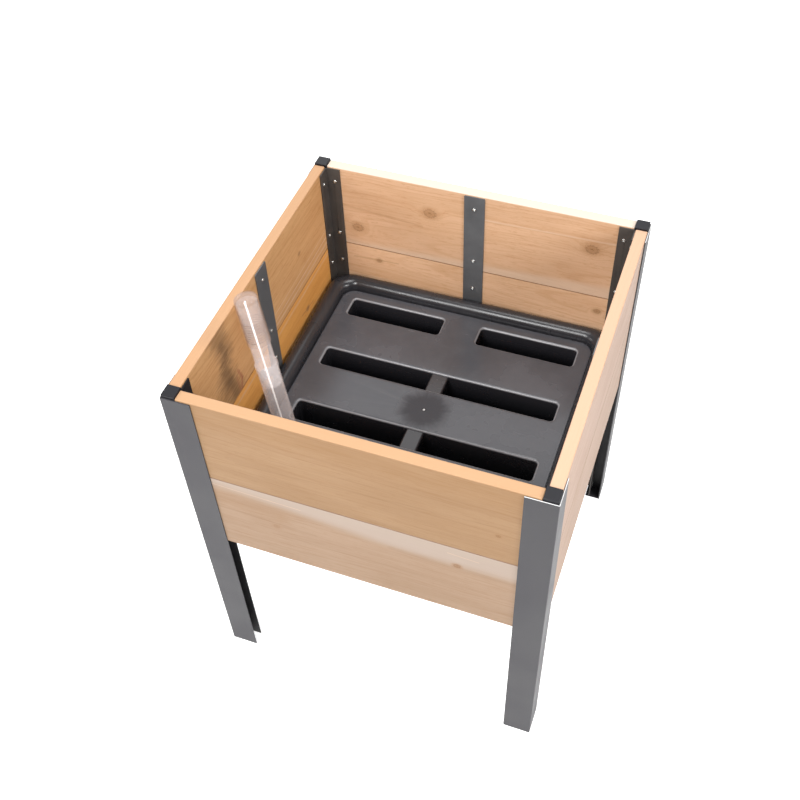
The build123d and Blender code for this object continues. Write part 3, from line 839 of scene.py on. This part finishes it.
def add_tray(material):
    """The reservoir tray: a rolled rim, a shelf and a basin, turned round a rounded square."""
    low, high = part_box("reservoir_tray")
    half, top, bottom = high.x, high.z, low.z
    skirt = top - RIM_SKIRT
    inner_floor = bottom + SKIN
    corners = [
        (FLOOR_FLAT, inner_floor, 0), (FLOOR_HALF, inner_floor, BASIN_ROUND),
        (SHELF_HALF, SHELF_Z, SHELF_ROUND), (OPENING_HALF, SHELF_Z, SHELF_ROUND),
        (OPENING_HALF, top, RIM_ROUND), (half, top, RIM_ROUND),
        (half, skirt, SKIRT_EASE), (half - SKIN, skirt, SKIRT_EASE),
        (half - SKIN, top - SKIN, RIM_ROUND - SKIN),
        (OPENING_HALF + SKIN, top - SKIN, RIM_ROUND - SKIN), (OPENING_HALF + SKIN, SHELF_Z - SKIN, SKIN),
        (SHELF_HALF + SKIN, SHELF_Z - SKIN, SKIN), (FLOOR_HALF + SKIN, bottom, BASIN_ROUND + SKIN),
        (FLOOR_FLAT, bottom, 0),
    ]
    profile = rounded_path(corners, False, TRAY_STEP, 12)
    rings = [rounded_square(p.x, tray_corner(p.x), p.y) for p in profile]
    mesh = bpy.data.meshes.new("reservoir")
    points, faces = skin_rings(rings, caps=False)
    mesh.from_pydata([tuple(p) for p in points], [], faces)
    work = bmesh.new()
    work.from_mesh(mesh)
    plug_low, plug_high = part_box("drain_plug")
    drain = (plug_low + plug_high) / 2
    holes = [circle(drain.x, drain.y, z, DRAIN_RADIUS, 32) for z in (inner_floor, bottom)]
    for ring, hole in zip((rings[0], rings[-1]), holes):
        fill_flat(work, [ring, hole])
    wall = [[work.verts.new(p) for p in hole] for hole in holes]
    for k in range(len(holes[0])):
        n = (k + 1) % len(holes[0])
        work.faces.new((wall[0][k], wall[0][n], wall[1][n], wall[1][k]))
    bmesh.ops.remove_doubles(work, verts=work.verts, dist=1e-6)
    work.to_mesh(mesh)
    work.free()
    piece = finish_piece("reservoir", mesh, material, 30)
    stand_for(piece, "reservoir_tray", "tray")


def pocket_profile():
    """(growth outwards, depth) down one pocket's wall, from the plate to the floor."""
    lip = [(LIP - LIP * math.sin(a), LIP - LIP * math.cos(a)) for a in [k * math.pi / 12 for k in range(7)]]
    wall_foot = POCKET_DEPTH - FLOOR_ROUND
    wall = [(-DRAFT / 2, (LIP + wall_foot) / 2), (-DRAFT, wall_foot)]
    bend = [(-DRAFT - FLOOR_ROUND * (1 - math.cos(a)), wall_foot + FLOOR_ROUND * math.sin(a))
            for a in [k * math.pi / 8 for k in range(1, 5)]]
    return lip + wall + bend


def bridge_stations():
    """Places over the low bridge between two pockets, out to the deep floor, as (x, depth limit)."""
    edge = POCKET_INNER_LONG - BRIDGE_ROUND
    stations = [(0.0, BRIDGE_DEPTH), (edge / 2, BRIDGE_DEPTH)]
    stations += [(edge + BRIDGE_ROUND * math.sin(a), BRIDGE_DEPTH + BRIDGE_ROUND * (1 - math.cos(a)))
                 for a in [k * math.pi / 10 for k in range(6)]]
    foot = POCKET_INNER_LONG + DRAFT
    stations += [(foot + FLOOR_ROUND * (1 - math.cos(a)), POCKET_DEPTH - FLOOR_ROUND * (1 - math.sin(a)))
                 for a in [k * math.pi / 8 for k in range(5)]]
    return [(-x, depth) for x, depth in reversed(stations[1:])] + stations


def pocket_ring(x0, x1, y, grow, depth, limits):
    """One ring round a pocket, with extra points at the bridge's places along both of its long sides."""
    left, right = x0 - grow, x1 + grow
    low, high = y - POCKET_HALF - grow, y + POCKET_HALF + grow
    r = max(LEAST_CORNER, POCKET_CORNER + grow)
    quarter = math.pi / 2
    top = TUBE_BASE.z

    def corner(x, y, start):
        return [Vector((p.x, p.y, top - depth)) for p in arc((x, y), r, start, quarter, CORNER_STEPS)]

    ring = corner(left + r, low + r, 2 * quarter)
    ring += [Vector((x, low, top - min(depth, limit))) for x, limit in limits]
    ring += corner(right - r, low + r, 3 * quarter) + corner(right - r, high - r, 0)
    ring += [Vector((x, high, top - min(depth, limit))) for x, limit in reversed(limits)]
    return ring + corner(left + r, high - r, quarter)


def pocket_sheet(x0, x1, y, limits):
    """The wall of one pocket, or of two with a bridge: its points, faces, mouth and floor loops."""
    rings = [pocket_ring(x0, x1, y, grow, depth, limits) for grow, depth in pocket_profile()]
    points, faces = skin_rings(rings, caps=False)
    last, run, corner = rings[-1], len(limits), CORNER_STEPS + 1
    if not run:
        return points, faces, rings[0], [last]
    first = (len(rings) - 1) * len(last)
    near = [first + corner + k for k in range(run)]
    far = [first + 3 * corner + 2 * run - 1 - k for k in range(run)]
    faces += [(near[k], near[k + 1], far[k + 1], far[k]) for k in range(run - 1)]
    left = last[3 * corner + 2 * run:] + last[:corner + 1] + [last[far[0] - first]]
    left = left[-1:] + left[:-1]
    right = last[corner + run - 1:3 * corner + run + 1]
    return points, faces, rings[0], [left, right]


def wick_slot(x, y, z):
    """The outline of one slot in a pocket's floor."""
    reach = (WICK_LENGTH - WICK_WIDTH) / 2
    ends = arc((x + reach, y), WICK_WIDTH / 2, -math.pi / 2, math.pi, 6)
    ends += arc((x - reach, y), WICK_WIDTH / 2, math.pi / 2, math.pi, 6)
    return [Vector((p.x, p.y, z)) for p in ends]


def add_platform(material):
    """The soil platform: one moulded sheet with rounded pockets, thickened downwards."""
    half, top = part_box("soil_platform")[1].x, TUBE_BASE.z
    shapes, mouths, floors = [], [], []
    for y in POCKET_ROWS:
        if abs(y) < POCKET_ROWS[0]:
            spans = [(-POCKET_END, POCKET_END, bridge_stations())]
            inner = POCKET_INNER_LONG
        else:
            spans = [(-POCKET_END, -POCKET_INNER_SHORT, []), (POCKET_INNER_SHORT, POCKET_END, [])]
            inner = POCKET_INNER_SHORT
        step = (POCKET_END - inner) / (WICK_SLOTS + 1)
        slots = {side: [wick_slot(side * (inner + i * step), y, top - POCKET_DEPTH)
                        for i in range(1, WICK_SLOTS + 1)] for side in (-1, 1)}
        for x0, x1, limits in spans:
            points, faces, mouth, rims = pocket_sheet(x0, x1, y, limits)
            shapes.append((points, faces))
            mouths.append(mouth)
            for rim in rims:
                side = 1 if sum(p.x for p in rim) > 0 else -1
                floors.append([rim] + slots[side])
    angles = [k * math.pi / 8 for k in range(5)]
    edge = [(half - PLATFORM_ROUND * (1 - math.sin(a)), top - PLATFORM_ROUND * (1 - math.cos(a)))
            for a in angles]
    edge.append((half, top - SKIN + 0.0002))
    rim = [rounded_square(h, PLATFORM_CORNER - (half - h), z) for h, z in edge]
    shapes.append(skin_rings(rim, caps=False))
    points, faces = join_shapes(shapes)
    mesh = bpy.data.meshes.new("platform_sheet")
    mesh.from_pydata([tuple(p) for p in points], [], faces)
    work = bmesh.new()
    work.from_mesh(mesh)
    fill_flat(work, [rim[0], circle(TUBE_BASE.x, TUBE_BASE.y, top, TUBE_HOLE_RADIUS, 48)] + mouths)
    for loops in floors:
        fill_flat(work, loops)
    bmesh.ops.remove_doubles(work, verts=work.verts, dist=2e-6)
    bmesh.ops.recalc_face_normals(work, faces=work.faces)
    if sum(f.normal.z * f.calc_area() for f in work.faces) < 0:
        bmesh.ops.reverse_faces(work, faces=work.faces)
    work.to_mesh(mesh)
    work.free()
    sheet = bpy.data.objects.new("platform_sheet", mesh)
    bpy.context.scene.collection.objects.link(sheet)
    thick = sheet.modifiers.new("thick", "SOLIDIFY")
    thick.thickness = PLATFORM_THICK
    thick.offset = -1.0
    thick.use_even_offset = True
    mesh = modified_mesh(sheet)
    bpy.data.objects.remove(sheet)
    stand_for(finish_piece("platform", mesh, material, 40), "soil_platform", "platform")
    add_gate(powder_coat("gate_plastic", (0.62, 0.62, 0.63), 0.3), top)


def add_gate(material, top):
    """The little nub that the moulding gate left in the middle of the platform."""
    place = Matrix.Translation((0, 0, top))
    mark = turned_piece("platform_gate", GATE_PROFILE, 24, place, material, wrap=False)
    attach(mark, "platform")


# ---------------- fill tube and small parts

def tube_place():
    """The fill tube's frame: its axis is local Z, from the platform's top."""
    x_axis = Vector((1.0, 0.0, -TUBE_LEAN.x / TUBE_LEAN.z)).normalized()
    lean = TUBE_LEAN.normalized()
    y_axis = lean.cross(x_axis)
    return Matrix.Translation(TUBE_BASE) @ Matrix((x_axis, y_axis, lean)).transposed().to_4x4()


def add_tube(clear, clear_cap, collar_clear, thread_clear):
    """The clear tube's top section with its collar and thread, and its domed cap with a vent."""
    place = tube_place()
    corners = [(UPPER_RADIUS, UPPER_BOTTOM, TUBE_FOOT_EASE), (UPPER_RADIUS, UPPER_TOP, TUBE_EASE),
               (UPPER_BORE, UPPER_TOP, TUBE_EASE), (UPPER_BORE, UPPER_BOTTOM, TUBE_FOOT_EASE)]
    wall = rounded_path(corners, True, TUBE_STEP, 3)
    upper = turned_piece("tube_section", [tuple(p) for p in wall], ROUND_STEPS, place, clear)
    stand_for(upper, "fill_tube_upper", "fill_tube")
    shoulder = COLLAR_TOP - COLLAR_EASE
    band = [(COLLAR_OUTER, COLLAR_BOTTOM), (COLLAR_OUTER, shoulder), (COLLAR_CREST, COLLAR_TOP),
            (COLLAR_INNER, shoulder), (COLLAR_INNER, COLLAR_BOTTOM)]
    collar = turned_piece("tube_collar", band, 64, place, collar_clear)
    thread = make_piece("tube_thread", *skin_rings(thread_rings(place)), thread_clear)
    for piece in (collar, thread):
        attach(piece, "fill_tube")
    cap = make_piece("tube_cap_dome", *cap_shell(place), clear_cap)
    stand_for(cap, "tube_cap", "tube_cap")
    for piece in (upper, collar, thread, cap, frame["nodes"]["fill_tube_lower"]):
        piece.visible_shadow = False


def cap_shell(place):
    """The cap's outer and inner skins, joined round its mouth and round a vent set off from its middle."""
    ceiling = CAP_TOP - CAP_CROWN
    outside = rounded_path([(CAP_RADIUS, CAP_BOTTOM, TUBE_EASE), (CAP_RADIUS, CAP_TOP, CAP_EASE),
                            (CAP_FLAT, CAP_TOP, 0)], False, CAP_STEP, 8)
    inside = rounded_path([(CAP_FLAT, ceiling, 0), (CAP_BORE, ceiling, CAP_INNER_ROUND),
                           (CAP_BORE, CAP_BOTTOM, CAP_INNER_EASE)], False, CAP_STEP, 6)
    vent = [(VENT_RADIUS, height, VENT_OFFSET) for height in (CAP_TOP, ceiling)]
    levels = [(p.x, p.y, 0.0) for p in outside] + vent + [(p.x, p.y, 0.0) for p in inside]
    rings = [[(offset + radius * math.cos(a), radius * math.sin(a), height) for a in turn_angles(ROUND_STEPS)]
             for radius, height, offset in levels]
    placed = [[place @ Vector(p) for p in ring] for ring in rings]
    return skin_rings(placed, wrap=True)


def thread_rings(place):
    """A shallow half-round thread wound round the tube's top section."""
    rings = []
    steps = THREAD_TURNS * THREAD_STEPS
    run_out = THREAD_STEPS / 4
    for i in range(steps + 1):
        a = 2 * math.pi * i / THREAD_STEPS
        rise = THREAD_BOTTOM + THREAD_PITCH * i / THREAD_STEPS
        fade = min(1.0, i / run_out, (steps - i) / run_out)
        height = max(0.02, fade) * THREAD_HEIGHT
        section = [(-THREAD_HALF, -THREAD_SINK), (-THREAD_HALF / 2, height * 0.8), (0.0, height),
                   (THREAD_HALF / 2, height * 0.8), (THREAD_HALF, -THREAD_SINK)]
        around = Vector((math.cos(a), math.sin(a), 0.0))
        rings.append([place @ (around * (UPPER_RADIUS + out) + Vector((0.0, 0.0, rise + up)))
                      for up, out in section])
    return rings


def bevel_steel(slots):
    """Rounds the sharp edges of the kept CAD nodes a little, so that they catch the light."""
    for entry in frame["record"]["subparts"]:
        if entry["material_slot"] not in slots:
            continue
        node = frame["nodes"][entry["node"]]
        node.modifiers.new("weld", "WELD").merge_threshold = 1e-5
        bevel = node.modifiers.new("bevel", "BEVEL")
        bevel.width = EDGE_ROUND
        bevel.segments = 2
        bevel.limit_method = "ANGLE"
        bevel.angle_limit = math.radians(35)
        node.modifiers.new("even_normals", "WEIGHTED_NORMAL").keep_sharp = True


def add_stage():
    """A plain pale floor, bright enough to fade the shadow."""
    s = Shader("floor_white", Roughness=1.0)
    s.set("Base Color", (0.82, 0.82, 0.82, 1.0))
    s.set("Emission Color", (1.0, 1.0, 1.0, 1.0))
    s.set("Emission Strength", FLOOR_GLOW)
    corners = [(x * FLOOR_REACH, y * FLOOR_REACH, 0) for x, y in ((-1, -1), (1, -1), (1, 1), (-1, 1))]
    mesh = bpy.data.meshes.new("floor")
    mesh.from_pydata(corners, [], [(0, 1, 2, 3)])
    mesh.materials.append(s.material)
    floor = bpy.data.objects.new("floor", mesh)
    bpy.context.scene.collection.objects.link(floor)
    floor.visible_diffuse = False


def add_lights():
    """Soft, nearly shadowless studio light, strongest from the front and above."""
    world = bpy.data.worlds.new("studio")
    world.use_nodes = True
    background = world.node_tree.nodes["Background"]
    background.inputs["Color"].default_value = (1.0, 1.0, 1.0, 1.0)
    background.inputs["Strength"].default_value = WORLD_STRENGTH
    bpy.context.scene.world = world
    for name, place, size, power in LIGHTS:
        data = bpy.data.lights.new(name, "AREA")
        data.shape = "SQUARE"
        data.size = size
        data.energy = power
        light = bpy.data.objects.new(name, data)
        light.location = place
        light.rotation_mode = "QUATERNION"
        light.rotation_quaternion = (Vector(LIGHT_AIM) - Vector(place)).to_track_quat("-Z", "Y")
        bpy.context.scene.collection.objects.link(light)


def add_camera():
    """The camera, above the front right corner."""
    azimuth, elevation = math.radians(CAMERA_AZIMUTH), math.radians(CAMERA_ELEVATION)
    level = math.cos(elevation)
    back = Vector((math.sin(azimuth) * level, -math.cos(azimuth) * level, math.sin(elevation)))
    data = bpy.data.cameras.new("camera")
    data.lens = CAMERA_LENS
    camera = bpy.data.objects.new("camera", data)
    camera.location = CAMERA_AIM + back * CAMERA_DISTANCE
    camera.rotation_mode = "QUATERNION"
    roll = Quaternion((0, 0, 1), math.radians(CAMERA_ROLL))
    camera.rotation_quaternion = (-back).to_track_quat("-Z", "Y") @ roll
    bpy.context.scene.collection.objects.link(camera)
    bpy.context.scene.camera = camera


def dress_nodes(looks, special):
    """Gives the kept CAD nodes the finish of their slot, or one of their own."""
    for entry in frame["record"]["subparts"]:
        name, slot_name = entry["node"], entry["material_slot"]
        if slot_name in looks:
            slot = frame["nodes"][name].material_slots[0]
            slot.link = "OBJECT"
            slot.material = special.get(name, looks[slot_name])


def main():
    """Makes the finishes, the pieces and the studio."""
    left_steel = powder_coat("left_leg_coat", (0.040, 0.038, 0.044), 0.50)
    # A near-black coat as painted shade, for the posts and the front inner angles in the shaded inside
    # corners
    painted_shade_steel = powder_coat("painted_shade_coat", (0.007, 0.006, 0.008), 0.6)
    tray_black = moulded_black("tray_black", (0.024, 0.024, 0.028), 0.27)
    clear = clear_plastic("clear_tube", (0.90, 0.82, 0.81), 0.10, 0.36)
    clear_cap = clear_plastic("clear_cap", (0.42, 0.31, 0.26), 0.16, 0.42, 0.2)
    collar_clear = clear_plastic("clear_collar", (0.95, 0.90, 0.89), 0.14, 0.30)
    thread_clear = clear_plastic("clear_thread", (0.26, 0.19, 0.16), 0.70, 0.20, 0.3)
    looks = {
        "leg_steel": powder_coat("leg_coat", (0.040, 0.038, 0.044), 0.50, STEEL_TOP),
        "inner_steel": powder_coat("inner_coat", (0.062, 0.053, 0.047), 0.46),
        "strap_steel": powder_coat("strap_coat", (0.104, 0.107, 0.112), 0.34),
        "screw_steel": plated_steel("screw_zinc"),
        "cap_plastic": moulded_black("cap_black", (0.007, 0.007, 0.010), 0.40, 0.5, 0.3),
        "tray_plastic": tray_black,
        "platform_plastic": platform_plastic("platform_black"),
        "clear_tube": clear,
        "clear_cap": clear_cap,
        "plug_rubber": soft_rubber("plug_rubber"),
        "float_plastic": float_red("float_red"),
    }
    # The posts and the front inner angles get a near-black coat as painted shade, and the left legs have no
    # painted highlight on their top edge
    special = {f"leg_post_{corner}": painted_shade_steel for corner in CORNERS}
    special.update({f"leg_inner_angle_front_{side}": painted_shade_steel for side in ("left", "right")})
    special.update({f"leg_outer_angle_{side}_left": left_steel for side in ("front", "back")})
    dress_nodes(looks, special)
    add_boards()
    add_slats()
    add_tray(tray_black)
    add_platform(looks["platform_plastic"])
    add_tube(clear, clear_cap, collar_clear, thread_clear)
    bevel_steel(("leg_steel", "inner_steel", "strap_steel", "cap_plastic"))
    add_stage()
    add_lights()
    add_camera()


main()
bpy.context.scene.view_settings.view_transform = "Standard"
